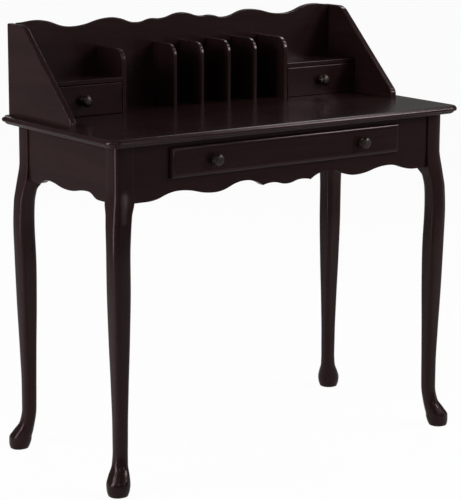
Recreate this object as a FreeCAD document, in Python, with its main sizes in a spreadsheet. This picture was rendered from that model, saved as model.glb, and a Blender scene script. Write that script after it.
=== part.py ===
import FreeCAD, Part
import math
import os
from types import SimpleNamespace

import Sketcher
from FreeCAD import Placement, Rotation, Vector

# A writing desk with a letter hutch. X runs to the right, Y to the back and Z up.
# The origin is on the floor under the middle of the desk, and sizes are in millimetres.

SIZES = {
    # desktop
    "top_width": 952,
    "top_depth": 463,
    "top_height": 762,
    "top_thickness": 18,
    "nose_thickness": 12,
    "nose_round": 5,
    "nose_bevel": 3,
    "cove_step": 7,
    "cove_round": 4,
    "top_corner": 28,
    # square posts at the head of the legs
    "post_size": 42,
    "post_side_inset": 32.5,
    "post_front_inset": 30.5,
    "post_length": 129,
    "post_corner": 5,
    # aprons
    "apron_height": 122.5,
    "apron_thickness": 16,
    "apron_recess": 4,
    "back_apron_height": 110,
    "scallop_end_flat": 35,
    # corner blocks, bolts and screws
    "block_thickness": 22,
    "block_gap": 8,
    "block_height": 40,
    "bolt_radius": 3,
    "bolt_tail": 12,
    "bolt_depth": 25,
    "nut_radius": 5.8,
    "nut_height": 5,
    "screw_radius": 2,
    "screw_head_radius": 3.8,
    "screw_head_height": 2.4,
    "top_screw_spread": 28,
    "top_screw_bite": 11,
    "dowel_radius": 3,
    "dowel_bite": 10,
    "fit_clearance": 0.2,
    "cutter_run": 1,
    # feet
    "pad_radius": 12,
    "pad_height": 2,
    # wide drawer
    "drawer_margin": 91,
    "drawer_lift": 44,
    "drawer_front_height": 66,
    "drawer_front_thickness": 10,
    "drawer_lip": 8,
    "drawer_edge_width": 9,
    "drawer_edge_depth": 5,
    "drawer_board": 10,
    "drawer_side_clearance": 4,
    "drawer_top_clearance": 3,
    "drawer_back_gap": 38,
    "drawer_bottom_thickness": 4,
    "drawer_groove_lift": 6,
    "drawer_groove_depth": 5,
    "running_gap": 0.3,
    "guide_gap": 0.8,
    "runner_thickness": 12,
    "runner_wall": 14,
    "runner_rise": 20,
    "front_screw_inset": 60,
    "front_screw_bite": 7,
    # knobs
    "knob_inset": 109.5,
    "knob_base_radius": 9,
    "knob_base_height": 2.5,
    "knob_neck_radius": 5.5,
    "knob_neck_height": 8,
    "knob_head_radius": 13,
    "knob_flare_height": 4,
    "knob_flare_width": 6.5,
    "knob_crown_drop": 6,
    "knob_crown_inset": 3,
    "knob_tip_bevel": 3.5,
    "knob_length": 21.5,
    "knob_screw_bite": 8,
    # hutch
    "hutch_side_inset": 27,
    "hutch_back_inset": 4,
    "back_setback": 10.5,
    "hutch_height": 200,
    "hutch_depth": 260,
    "panel_thickness": 15,
    "panel_front_edge": 15,
    "panel_top_flat": 63.5,
    "panel_nose_round": 20,
    "panel_shoulder_round": 40,
    "back_thickness": 10,
    "back_crest": 205,
    "shelf_thickness": 10,
    "shelf_height": 80,
    "shelf_depth": 103,
    "partition_thickness": 10,
    "divider_thickness": 8,
    "divider_height": 141,
    "divider_setback": 18,
    "divider_round": 28,
    "letter_pitch": 75,
    "housing_depth": 4,
    "panel_dowel_front": 60,
    "panel_dowel_back": 215,
    "partition_dowel_inset": 48,
    # small drawers
    "small_front_thickness": 12,
    "small_front_clearance": 1.2,
    "small_board": 8,
    "small_side_clearance": 2,
    "small_top_clearance": 10,
    "small_back_gap": 4,
    "small_bottom_thickness": 3,
    "small_groove_lift": 4,
    "small_groove_depth": 4,
}

# Scallops, from the middle outwards. Each row is a place as a share of the half pattern, a height above the
# pattern's base line, and whether the edge turns smoothly there or comes to a point.
FRONT_SCALLOPS = [
    ("front_middle", 0, 2.3, "smooth"),
    ("front_small_crest", 0.11, 8.8, "smooth"),
    ("front_point", 0.179, 5.3, "point"),
    ("front_arch", 0.308, 20.4, "smooth"),
    ("front_trough", 0.527, 2.8, "smooth"),
    ("front_broad_crest", 0.78, 15.7, "smooth"),
    ("front_end", 1, 0, "smooth"),
]
SIDE_SCALLOPS = [
    ("side_middle", 0, 3.4, "smooth"),
    ("side_crest", 0.66, 12.4, "smooth"),
    ("side_end", 1, 0, "smooth"),
]
BACK_SCALLOPS = [
    ("back_middle", 0, -2.1, "smooth"),
    ("back_point", 0.138, -12.7, "smooth"),
    ("back_small_crest", 0.18, -11.6, "smooth"),
    ("back_dip", 0.272, -18.4, "smooth"),
    ("back_wave", 0.438, -3.9, "smooth"),
    ("back_trough", 0.672, -18.8, "smooth"),
    ("back_end_crest", 0.887, 0, "smooth"),
    ("back_end", 1, -3.5, "smooth"),
]

# Leg sections, each a square with rounded corners: where it is, how far it stands out past the post's outer
# faces, its width, and the radii of its outer, side and inner corners. Knee sections are placed down from the
# underside of the desktop, foot sections up from the floor, and shank sections as a share of the way between.
KNEE_SECTIONS = [
    ("knee_start", 87, -0.3, 40, 5, 4, 24),
    ("knee_swell", 135, 6.3, 43, 8, 5, 25),
    ("knee_full", 172, 11, 43, 9.5, 7.5, 19),
    ("knee_low", 229, 12.7, 42, 9.5, 9.5, 13),
    ("calf", 285, 11.7, 42, 9.5, 9.5, 11.5),
]
SHANK_SECTIONS = [
    ("shank_upper", 0.68, 8.7, 38.4, 9, 9.5, 9),
    ("shank_lower", 0.36, 4.8, 32.6, 9, 9.5, 9),
]
FOOT_SECTIONS = [
    ("ankle", 95, 3.4, 30.2, 11, 11.7, 11),
    ("instep", 64, 8.3, 33, 14, 14, 14),
    ("toe_rise", 42, 20.8, 43.8, 19, 19, 19),
    ("toe", 26, 28.4, 49.4, 21.5, 21.5, 21.5),
    ("toe_under", 13, 28.2, 46.8, 20.4, 20.4, 20.4),
    ("sole", 2, 25.9, 40, 17.5, 17.5, 17.5),
]

# Turned pieces and round corners are worked in flats.
BAR_SIDES = 8
NUT_SIDES = 6
PAD_SIDES = 12
KNOB_SIDES = 16
CORNER_TURNS = [0, 30, 60, 90]

for name, share, rise, turn in FRONT_SCALLOPS + SIDE_SCALLOPS + BACK_SCALLOPS:
    SIZES[name + "_share"] = share
    SIZES[name + "_rise"] = rise
for name, place, reach, width, outer, side, inner in KNEE_SECTIONS + SHANK_SECTIONS + FOOT_SECTIONS:
    SIZES[name + "_place"] = place
    SIZES[name + "_reach"] = reach
    SIZES[name + "_width"] = width
    SIZES[name + "_outer_round"] = outer
    SIZES[name + "_side_round"] = side
    SIZES[name + "_inner_round"] = inner

doc = FreeCAD.newDocument("WritingDesk")
sheet = doc.addObject("Spreadsheet::Sheet", "Sizes")
for row, (name, value) in enumerate(SIZES.items(), start=1):
    sheet.set(f"A{row}", name)
    sheet.set(f"B{row}", str(value))
    sheet.setAlias(f"B{row}", name)
doc.recompute()


class Size:
    """A length that knows its value and the sheet expression that gives it."""

    def __init__(self, value, text):
        self.value = value
        self.text = text

    def __add__(self, other):
        other = as_size(other)
        return Size(self.value + other.value, f"({self.text} + {other.text})")

    def __sub__(self, other):
        other = as_size(other)
        return Size(self.value - other.value, f"({self.text} - {other.text})")

    def __mul__(self, other):
        other = as_size(other)
        return Size(self.value * other.value, f"({self.text} * {other.text})")

    def __truediv__(self, other):
        other = as_size(other)
        return Size(self.value / other.value, f"({self.text} / {other.text})")

    def __neg__(self):
        return Size(-self.value, f"(0 - {self.text})")

    def __rsub__(self, other):
        return as_size(other) - self


def as_size(number):
    """A plain number as a size."""
    return number if isinstance(number, Size) else Size(number, f"({number})")


s = SimpleNamespace(**{name: Size(value, f"Sizes.{name}") for name, value in SIZES.items()})
ZERO = as_size(0)
DIAGONAL = math.sqrt(0.5)
ACROSS = Vector(1, 0, 0)
BACK = Vector(0, 1, 0)
FRONT = Vector(0, -1, 0)
UP = Vector(0, 0, 1)
parts = {}
bores = {}


def keep(label, item):
    """Names a finished sub-part."""
    item.Label = label
    parts[label] = item
    return item


def bind(item, **sizes):
    """Ties an object's sizes to the sheet."""
    for prop, size in sizes.items():
        item.setExpression(prop, size.text)


def place(item, x, y, z, rotation=None):
    """Puts an object at a point that follows the sheet."""
    item.Placement = Placement(Vector(x.value, y.value, z.value), rotation or Rotation())
    item.setExpression("Placement.Base.x", x.text)
    item.setExpression("Placement.Base.y", y.text)
    item.setExpression("Placement.Base.z", z.text)


def origin_plane(body, role):
    """One of a body's own origin planes."""
    return next(plane for plane in body.Origin.OriginFeatures if plane.Role == role)


def new_body(label):
    """An empty body."""
    body = doc.addObject("PartDesign::Body", label)
    body.Label = label + "_body"
    return body


def arc_between(start, end, radius, turn):
    """The short arc from start to end, turning left for turn 1 and right for turn -1."""
    chord = end - start
    side = Vector(-chord.y, chord.x, 0).normalize() * turn
    centre = (start + end) * 0.5 + side * math.sqrt(max(radius ** 2 - chord.Length ** 2 / 4, 0))
    first, last = (start, end) if turn > 0 else (end, start)
    angles = [math.atan2(point.y - centre.y, point.x - centre.x) for point in (first, last)]
    return Part.ArcOfCircle(Part.Circle(centre, Vector(0, 0, 1), radius), *angles)


def outline(body, name, role, corners, height=ZERO):
    """A closed sketch. A corner is (x, y), or (x, y, radius, turn) for an arc from it to the next corner."""
    sketch = body.newObject("Sketcher::SketchObject", name)
    sketch.AttachmentSupport = (origin_plane(body, role), "")
    sketch.MapMode = "FlatFace"
    sketch.setExpression("AttachmentOffset.Base.z", height.text)
    points = [Vector(corner[0].value, corner[1].value, 0) for corner in corners]
    count = len(corners)
    heads = []
    tails = []
    for i, corner in enumerate(corners):
        start, end = points[i], points[(i + 1) % count]
        if len(corner) == 4:
            sketch.addGeometry(arc_between(start, end, corner[2].value, corner[3]), False)
            heads.append(1 if corner[3] > 0 else 2)
        else:
            sketch.addGeometry(Part.LineSegment(start, end), False)
            heads.append(1)
        tails.append(3 - heads[-1])
    rules = [
        Sketcher.Constraint("Coincident", i, tails[i], (i + 1) % count, heads[(i + 1) % count])
        for i in range(count)
    ]
    ties = []
    for i, corner in enumerate(corners):
        for axis, size in (("X", corner[0]), ("Y", corner[1])):
            ties.append((len(rules), f"{axis.lower()}_{i}", size))
            rules.append(Sketcher.Constraint("Distance" + axis, -1, 1, i, heads[i], size.value))
        if len(corner) == 4:
            ties.append((len(rules), f"radius_{i}", corner[2]))
            rules.append(Sketcher.Constraint("Radius", i, corner[2].value))
    sketch.addConstraint(rules)
    for index, tie, size in ties:
        sketch.renameConstraint(index, tie)
        sketch.setExpression("Constraints." + tie, size.text)
    return sketch


def pad(body, sketch, length):
    """A straight extrusion of a sketch along its normal."""
    feature = body.newObject("PartDesign::Pad", sketch.Name + "_pad")
    feature.Profile = sketch
    bind(feature, Length=length)
    return feature


def mirror_half(body, feature, role):
    """The other half of a symmetrical piece."""
    twin = body.newObject("PartDesign::Mirrored", feature.Name + "_mirrored")
    twin.Originals = [feature]
    twin.MirrorPlane = (origin_plane(body, role), [""])
    body.Tip = twin
    return twin


def dress_edges(body, feature, kind, chosen, **sizes):
    """Rounds or bevels the edges that a test picks out."""
    doc.recompute()
    names = [f"Edge{i}" for i, edge in enumerate(feature.Shape.Edges, start=1) if chosen(edge)]
    dressed = body.newObject("PartDesign::" + kind, feature.Name + "_" + kind.lower())
    dressed.Base = (feature, names)
    bind(dressed, **sizes)
    return dressed


def near(a, b):
    """Whether two numbers are the same size."""
    return abs(a - b) < 0.01


def is_level(edge, height):
    """Whether an edge lies level at a height."""
    return near(edge.BoundBox.ZMin, height.value) and near(edge.BoundBox.ZMax, height.value)


def rectangle(x0, x1, y0, y1):
    """The corners of a rectangle."""
    return [(x0, y0), (x1, y0), (x1, y1), (x0, y1)]


def board(name, x0, x1, y0, y1, z0, z1):
    """A flat board between three pairs of faces."""
    box = doc.addObject("Part::Box", name)
    bind(box, Length=x1 - x0, Width=y1 - y0, Height=z1 - z0)
    place(box, x0, y0, z0)
    return box


def rod(name, radius, length, x, y, z, along, sides=BAR_SIDES):
    """A bar from a point along a direction, with as many flats as asked."""
    bar = doc.addObject("Part::Prism", name)
    bar.Polygon = sides
    bind(bar, Circumradius=radius, Height=length)
    place(bar, x, y, z, Rotation(UP, along))
    return bar


def joined(name, items):
    """Several solids fused to one."""
    fuse = doc.addObject("Part::MultiFuse", name)
    fuse.Shapes = items
    return fuse


def grouped(name, items):
    """Several separate solids in one node."""
    group = doc.addObject("Part::Compound", name)
    group.Links = items
    return group


def cut_away(name, base, tools):
    """A piece with its holes and grooves."""
    cut = doc.addObject("Part::Cut", name)
    cut.Base = base
    cut.Tool = tools[0] if len(tools) == 1 else joined(name + "_tools", tools)
    return cut


def mirrored(name, source, normal):
    """The mirror image of a piece across a middle plane of the desk."""
    twin = doc.addObject("Part::Mirroring", name)
    twin.Source = source
    twin.Normal = normal
    return twin


def at_distance(point, along, distance):
    """A point moved along a direction by a size."""
    return [start + distance * step for start, step in zip(point, along)]


def fastener(name, point, along, length, radius, boards, head=None):
    """A dowel or a headed screw whose shank starts at a point, with its bores in the boards that it joins."""
    shank = rod(name + "_shank", radius, length, *point, along)
    bore = rod(name + "_bore", radius + s.fit_clearance, length + s.fit_clearance, *point, along)
    for label in boards:
        bores.setdefault(label, []).append(bore)
    if not head:
        return shank
    head_radius, head_height = head
    start = at_distance(point, along, -head_height)
    return joined(name, [shank, rod(name + "_head", head_radius, head_height, *start, along)])


def bored(label, base):
    """A piece with every bore that its fasteners need."""
    return cut_away(label, base, bores[label])


# Levels and faces that several pieces share
top_under = s.top_height - s.top_thickness
post_x = s.top_width / 2 - s.post_side_inset
post_y = s.top_depth / 2 - s.post_front_inset
post_in_x = post_x - s.post_size
post_in_y = post_y - s.post_size
apron_x = post_x - s.apron_recess
apron_y = post_y - s.apron_recess
apron_in_x = apron_x - s.apron_thickness
apron_in_y = apron_y - s.apron_thickness
apron_low = top_under - s.apron_height

opening_x = post_in_x - s.drawer_margin - s.drawer_lip
opening_low = apron_low + s.drawer_lift + s.drawer_lip
opening_high = apron_low + s.drawer_lift + s.drawer_front_height - s.drawer_lip
box_x = opening_x - s.drawer_side_clearance
box_low = opening_low + s.running_gap
box_high = opening_high - s.drawer_top_clearance
box_front = -(apron_y + s.running_gap)
box_back = apron_in_y - s.drawer_back_gap
inner_front_back = box_front + s.drawer_board
knob_x = post_in_x - s.drawer_margin - s.knob_inset
knob_z = apron_low + s.drawer_lift + s.drawer_front_height / 2

hutch_x = s.top_width / 2 - s.hutch_side_inset
hutch_in_x = hutch_x - s.panel_thickness
hutch_rear = s.top_depth / 2 - s.hutch_back_inset
hutch_back_rear = hutch_rear - s.back_setback
hutch_in_y = hutch_back_rear - s.back_thickness
hutch_front = hutch_rear - s.hutch_depth
shelf_front = hutch_in_y - s.shelf_depth
shelf_low = s.top_height + s.shelf_height - s.shelf_thickness
shelf_high = s.top_height + s.shelf_height
divider_high = s.top_height + s.divider_height
partition_x = s.letter_pitch * 3
partition_out = partition_x + s.partition_thickness / 2
divider_steps = (-1, 0, 1, 2)

small_x0 = partition_out + s.small_side_clearance
small_x1 = hutch_in_x - s.small_side_clearance
small_low = s.top_height + s.running_gap
small_high = shelf_low - s.small_top_clearance
small_front_back = shelf_front + s.small_front_thickness
small_back = hutch_in_y - s.small_back_gap
small_knob_x = (partition_out + hutch_in_x) / 2
small_knob_z = (s.top_height + shelf_low) / 2

sole_centre = s.sole_reach - s.sole_width / 2


# Fasteners, which give the boards their bores

# hanger bolts run from each corner block into the inner corner of its post
bolt_way = Vector(1, 1, 0).normalize()
bolt_back = (s.block_thickness + s.block_gap + s.bolt_tail) * DIAGONAL
bolt_z = top_under - s.block_height / 2
bolt = fastener(
    "corner_bolt", (post_in_x - bolt_back, post_in_y - bolt_back, bolt_z), bolt_way,
    s.block_thickness + s.block_gap + s.bolt_tail + s.bolt_depth, s.bolt_radius, ["corner_block", "leg"],
)
nut_back = (s.block_thickness + s.block_gap + s.nut_height) * DIAGONAL
nut_blank = rod(
    "corner_nut_blank", s.nut_radius, s.nut_height,
    post_in_x - nut_back, post_in_y - nut_back, bolt_z, bolt_way, NUT_SIDES,
)
nut = cut_away("corner_nut", nut_blank, [bores["leg"][0]])

# a screw through each corner block into the desktop
pan_head = (s.screw_head_radius, s.screw_head_height)
block_middle = (s.block_gap + s.block_thickness / 2) * DIAGONAL
spread = s.top_screw_spread * DIAGONAL
top_screw = fastener(
    "top_screw",
    (post_in_x - block_middle + spread, post_in_y - block_middle - spread, top_under - s.block_height), UP,
    s.block_height + s.top_screw_bite, s.screw_radius, ["corner_block", "desk_top_quarter"], pan_head,
)

# dowels between the runners and the front and back aprons
runner_x0 = box_x - s.drawer_board
runner_x1 = box_x + s.guide_gap + s.runner_wall
runner_low = opening_low - s.runner_thickness
dowel_x = box_x + s.guide_gap + s.runner_wall / 2
dowel_z = opening_low + s.runner_rise / 3
runner_dowels = [
    fastener(
        "runner_dowel_" + end, (dowel_x, y, dowel_z), BACK, s.dowel_bite * 2, s.dowel_radius,
        ["runner", apron],
    )
    for end, apron, y in (
        ("front", "apron_front", -(apron_in_y + s.dowel_bite)),
        ("back", "apron_back", apron_in_y - s.dowel_bite),
    )
]

# screws that hold the proud drawer front and its knobs to the drawer box
drawer_boards = ["main_drawer_inner_front", "main_drawer_front"]
front_screw = fastener(
    "front_screw", (box_x - s.front_screw_inset, inner_front_back, knob_z), FRONT,
    s.drawer_board + s.front_screw_bite, s.screw_radius, drawer_boards, pan_head,
)
main_knob_screw = fastener(
    "main_knob_screw", (knob_x, inner_front_back, knob_z), FRONT,
    s.drawer_board + s.drawer_front_thickness + s.knob_screw_bite, s.screw_radius,
    drawer_boards + ["main_knob"], pan_head,
)
small_knob_screw = fastener(
    "small_knob_screw", (small_knob_x, small_front_back, small_knob_z), FRONT,
    s.small_front_thickness + s.knob_screw_bite, s.screw_radius, ["small_front", "small_knob"], pan_head,
)

# dowels between the hutch and the desktop
dowel_start = s.top_height - s.dowel_bite
hutch_dowels = [
    fastener(
        "hutch_dowel_" + name, (x, y, dowel_start), UP, s.dowel_bite * 3, s.dowel_radius,
        [label, "desk_top_half"],
    )
    for name, label, x, y in (
        ("front", "hutch_side", hutch_x - s.panel_thickness / 2, hutch_front + s.panel_dowel_front),
        ("back", "hutch_side", hutch_x - s.panel_thickness / 2, hutch_front + s.panel_dowel_back),
        ("middle", "partition", partition_x, shelf_front + s.partition_dowel_inset),
    )
]


# Desktop: a rounded nose over a cove that steps back to the underside

top_body = new_body("desk_top")
half_width = s.top_width / 2
half_depth = s.top_depth / 2


def rounded_rectangle(half_x, half_y, radius):
    """The corners of a rectangle with round corners."""
    return [
        (-half_x + radius, -half_y), (half_x - radius, -half_y, radius, 1),
        (half_x, -half_y + radius), (half_x, half_y - radius, radius, 1),
        (half_x - radius, half_y), (-half_x + radius, half_y, radius, 1),
        (-half_x, half_y - radius), (-half_x, -half_y + radius, radius, 1),
    ]


nose_low = s.top_height - s.nose_thickness
under_corners = rounded_rectangle(
    half_width - s.cove_step, half_depth - s.cove_step, s.top_corner - s.cove_step,
)
under_plan = outline(top_body, "desk_top_under", "XY_Plane", under_corners, top_under)
pad(top_body, under_plan, s.top_thickness - s.nose_thickness)
nose_corners = rounded_rectangle(half_width, half_depth, s.top_corner)
nose_plan = outline(top_body, "desk_top_nose", "XY_Plane", nose_corners, nose_low)
nose = pad(top_body, nose_plan, s.nose_thickness)


def on_rim(height):
    """A test for the edges round the rim of the nose at a height."""
    def chosen(edge):
        box = edge.BoundBox
        reach = max(abs(box.XMin), abs(box.XMax)), max(abs(box.YMin), abs(box.YMax))
        outermost = near(reach[0], half_width.value) or near(reach[1], half_depth.value)
        return outermost and is_level(edge, height)
    return chosen


rounded_nose = dress_edges(top_body, nose, "Fillet", on_rim(s.top_height), Radius=s.nose_round)
dress_edges(top_body, rounded_nose, "Chamfer", on_rim(nose_low), Size=s.nose_bevel)
screw_bore = bores["desk_top_quarter"][0]
screw_bore = grouped("screw_bore", [screw_bore, mirrored("screw_bore_left", screw_bore, ACROSS)])
screw_bores = grouped("screw_bores", [screw_bore, mirrored("screw_bores_front", screw_bore, BACK)])
dowel_bore = joined("dowel_bore", bores["desk_top_half"])
dowel_bores = grouped("dowel_bores", [dowel_bore, mirrored("dowel_bores_left", dowel_bore, ACROSS)])
screwed_top = cut_away("desk_top_screwed", top_body, [screw_bores])
keep("desk_top", cut_away("desk_top_bored", screwed_top, [dowel_bores]))


# Legs: a square post with a swelling knee, a tapering shank and a round pad foot

leg_body = new_body("leg")
post_plan = outline(
    leg_body, "post_plan", "XY_Plane",
    [
        (post_in_x, post_in_y), (post_x, post_in_y), (post_x, post_y - s.post_corner, s.post_corner, 1),
        (post_x - s.post_corner, post_y), (post_in_x, post_y),
    ],
    top_under - s.post_length,
)
pad(leg_body, post_plan, s.post_length)


def leg_section(name, height):
    """One section of the leg, a square with its corners rounded in flats."""
    reach, width = getattr(s, name + "_reach"), getattr(s, name + "_width")
    outer, side, inner = [getattr(s, f"{name}_{corner}_round") for corner in ("outer", "side", "inner")]
    x1, y1 = post_x + reach, post_y + reach
    x0, y0 = x1 - width, y1 - width
    corners = []
    for x, y, radius, start in (
        (x1 - side, y0 + side, side, -90), (x1 - outer, y1 - outer, outer, 0),
        (x0 + side, y1 - side, side, 90), (x0 + inner, y0 + inner, inner, 180),
    ):
        for turn in CORNER_TURNS:
            angle = math.radians(start + turn)
            corners.append((x + radius * round(math.cos(angle), 6), y + radius * round(math.sin(angle), 6)))
    return outline(leg_body, name, "XY_Plane", corners, height)


calf_z = top_under - s.calf_place
sections = [leg_section(row[0], top_under - getattr(s, row[0] + "_place")) for row in KNEE_SECTIONS]
for row in SHANK_SECTIONS:
    share = getattr(s, row[0] + "_place")
    sections.append(leg_section(row[0], s.ankle_place + (calf_z - s.ankle_place) * share))
sections += [leg_section(row[0], getattr(s, row[0] + "_place")) for row in FOOT_SECTIONS]
shank = leg_body.newObject("PartDesign::AdditiveLoft", "leg_loft")
shank.Profile = sections[0]
shank.Sections = [(section, [""]) for section in sections[1:]]
leg = keep("leg_back_right", bored("leg", leg_body))
leg_left = keep("leg_back_left", mirrored("leg_back_left", leg, ACROSS))
keep("leg_front_right", mirrored("leg_front_right", leg, BACK))
keep("leg_front_left", mirrored("leg_front_left", leg_left, BACK))


# Aprons: boards between the posts, scalloped along their lower edge

def scallops(rows, half_length, base):
    """The wavy edge from its outer end to the middle, as two equal arcs from each turn to the next."""
    places = [
        (half_length * getattr(s, name + "_share"), base + getattr(s, name + "_rise"), turn)
        for name, share, rise, turn in rows
    ]
    corners = []
    for (x0, z0, turn0), (x1, z1, turn1) in zip(places[:0:-1], places[-2::-1]):
        run, climb = x0 - x1, z1 - z0
        way = 1 if climb.value > 0 else -1
        square = run * run + climb * climb
        if turn1 == "point":
            corners.append((x0, z0, square / (climb * 2 * way), -way))
        elif turn0 == "point":
            corners.append((x0, z0, square / (climb * 2 * way), way))
        else:
            radius = square / (climb * 4 * way)
            corners.append((x0, z0, radius, -way))
            corners.append(((x0 + x1) / 2, (z0 + z1) / 2, radius, way))
    return corners + [(places[0][0], places[0][1])]


def scalloped_apron(label, rows, role, half_length, face):
    """Half a board with a scalloped lower edge, mirrored to a whole one."""
    body = new_body(label)
    edge = scallops(rows, half_length - s.scallop_end_flat, apron_low)
    corners = [(ZERO, top_under), (half_length, top_under), (half_length, apron_low)] + edge
    half = pad(body, outline(body, label + "_half", role, corners, face), s.apron_thickness)
    mirror_half(body, half, "YZ_Plane" if role == "XZ_Plane" else "XZ_Plane")
    return body


front_board = scalloped_apron("apron_front", FRONT_SCALLOPS, "XZ_Plane", post_in_x, apron_in_y)
drawer_hole = board(
    "drawer_opening", -opening_x, opening_x, -apron_y - s.cutter_run, -apron_in_y + s.cutter_run,
    opening_low, opening_high,
)
front_dowel_bore = bores["apron_front"][0]
keep("apron_front", cut_away("apron_front_open", front_board, [
    drawer_hole, front_dowel_bore, mirrored("runner_bore_front_left", front_dowel_bore, ACROSS),
]))
keep("apron_right", scalloped_apron("apron_right", SIDE_SCALLOPS, "YZ_Plane", post_in_y, apron_in_x))
keep("apron_left", mirrored("apron_left", parts["apron_right"], ACROSS))
back_dowel_bore = bores["apron_back"][0]
back_board = board(
    "apron_back_blank", -post_in_x, post_in_x, apron_in_y, apron_y,
    top_under - s.back_apron_height, top_under,
)
keep("apron_back", cut_away("apron_back_bored", back_board, [
    back_dowel_bore, mirrored("runner_bore_back_left", back_dowel_bore, ACROSS),
]))


# Corner blocks with their bolts, nuts and screws

block_body = new_body("corner_block")
outer_sum = post_in_x + post_in_y - s.block_gap / DIAGONAL
inner_sum = outer_sum - s.block_thickness / DIAGONAL
block_plan = outline(
    block_body, "corner_block_plan", "XY_Plane",
    [
        (inner_sum - apron_in_y, apron_in_y), (apron_in_x, inner_sum - apron_in_x),
        (apron_in_x, outer_sum - apron_in_x), (outer_sum - apron_in_y, apron_in_y),
    ],
    top_under - s.block_height,
)
pad(block_body, block_plan, s.block_height)
block = keep("corner_block_back_right", bored("corner_block", block_body))
block_left = keep("corner_block_back_left", mirrored("corner_block_back_left", block, ACROSS))
keep("corner_block_front_right", mirrored("corner_block_front_right", block, BACK))
keep("corner_block_front_left", mirrored("corner_block_front_left", block_left, BACK))


def at_four_corners(label, items):
    """A group of like pieces repeated at the four corners of the desk."""
    corner = grouped(label + "_corner", items)
    pair = grouped(label + "_pair", [corner, mirrored(label + "_left", corner, ACROSS)])
    return keep(label, grouped(label, [pair, mirrored(label + "_front", pair, BACK)]))


def at_both_sides(label, items):
    """A group of like pieces repeated on the left."""
    half = grouped(label + "_right", items)
    return keep(label, grouped(label, [half, mirrored(label + "_left", half, ACROSS)]))


at_four_corners("corner_bolts", [bolt])
at_four_corners("corner_nuts", [nut])
at_four_corners("top_screws", [top_screw])
pad_x = post_x + sole_centre
pad_y = post_y + sole_centre
at_four_corners("foot_pads", [rod("foot_pad", s.pad_radius, s.pad_height, pad_x, pad_y, ZERO, UP, PAD_SIDES)])


# Drawer runners: a ledge under the drawer side and a wall beside it

runner_body = new_body("runner")
wall_x = box_x + s.guide_gap
runner_profile = outline(
    runner_body, "runner_profile", "XZ_Plane",
    [
        (runner_x0, runner_low), (runner_x1, runner_low), (runner_x1, opening_low + s.runner_rise),
        (wall_x, opening_low + s.runner_rise), (wall_x, opening_low), (runner_x0, opening_low),
    ],
    -apron_in_y,
)
pad(runner_body, runner_profile, apron_in_y * 2)
keep("runner_right", bored("runner", runner_body))
keep("runner_left", mirrored("runner_left", parts["runner_right"], ACROSS))
at_both_sides("runner_dowels", runner_dowels)


# Knobs: a base, a neck and a domed head

def knob(label, x, y, z):
    """A knob that stands out to the front, with a flare under its rim and a crown bevelled twice."""
    body = new_body(label)
    for part_name, radius, low, high in (
        ("base", s.knob_base_radius, ZERO, s.knob_base_height),
        ("neck", s.knob_neck_radius, s.knob_base_height, s.knob_neck_height),
        ("head", s.knob_head_radius, s.knob_neck_height, s.knob_length),
    ):
        turns = [math.tau * i / KNOB_SIDES for i in range(KNOB_SIDES)]
        corners = [(radius * round(math.cos(turn), 6), radius * round(math.sin(turn), 6)) for turn in turns]
        feature = pad(body, outline(body, f"{label}_{part_name}", "XY_Plane", corners, low), high - low)
    head_side = s.knob_head_radius.value * 2 * math.sin(math.pi / KNOB_SIDES)
    for height, first, second in (
        (s.knob_neck_height, s.knob_flare_width, s.knob_flare_height),
        (s.knob_length, s.knob_crown_drop, s.knob_crown_inset),
    ):
        feature = dress_edges(
            body, feature, "Chamfer", lambda edge: near(edge.Length, head_side) and is_level(edge, height),
            Size=first, Size2=second,
        )
        feature.ChamferType = "Two distances"
    dress_edges(body, feature, "Chamfer", lambda edge: is_level(edge, s.knob_length), Size=s.knob_tip_bevel)
    place(body, x, y, z, Rotation(UP, FRONT))
    return bored(label, body)


drawer_face = box_front - s.drawer_front_thickness
keep("main_knob_right", knob("main_knob", knob_x, drawer_face, knob_z))
keep("main_knob_left", mirrored("main_knob_left", parts["main_knob_right"], ACROSS))
at_both_sides("main_knob_screws", [main_knob_screw])
at_both_sides("main_front_screws", [front_screw])
keep("right_drawer_knob", knob("small_knob", small_knob_x, shelf_front, small_knob_z))
keep("right_drawer_knob_screw", small_knob_screw)


# Wide drawer: a proud front on a grooved box

front_body = new_body("main_drawer_front")
front_x = opening_x + s.drawer_lip
front_plan = outline(
    front_body, "main_drawer_front_plan", "XZ_Plane",
    rectangle(-front_x, front_x, opening_low - s.drawer_lip, opening_high + s.drawer_lip), -box_front,
)
front_slab = pad(front_body, front_plan, s.drawer_front_thickness)


def on_face(edge):
    """Whether an edge borders the outer face of the drawer front."""
    return near(edge.BoundBox.YMin, drawer_face.value) and near(edge.BoundBox.YMax, drawer_face.value)


moulding = dress_edges(
    front_body, front_slab, "Chamfer", on_face, Size=s.drawer_edge_depth, Size2=s.drawer_edge_width,
)
moulding.ChamferType = "Two distances"


def both_sides(name, tools):
    """Bores on the right with their mirror images."""
    return tools + [mirrored(f"{name}_{i}", tool, ACROSS) for i, tool in enumerate(tools)]


keep("main_drawer_front", cut_away(
    "main_drawer_front_bored", front_body, both_sides("front_bore_left", bores["main_drawer_front"]),
))


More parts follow.
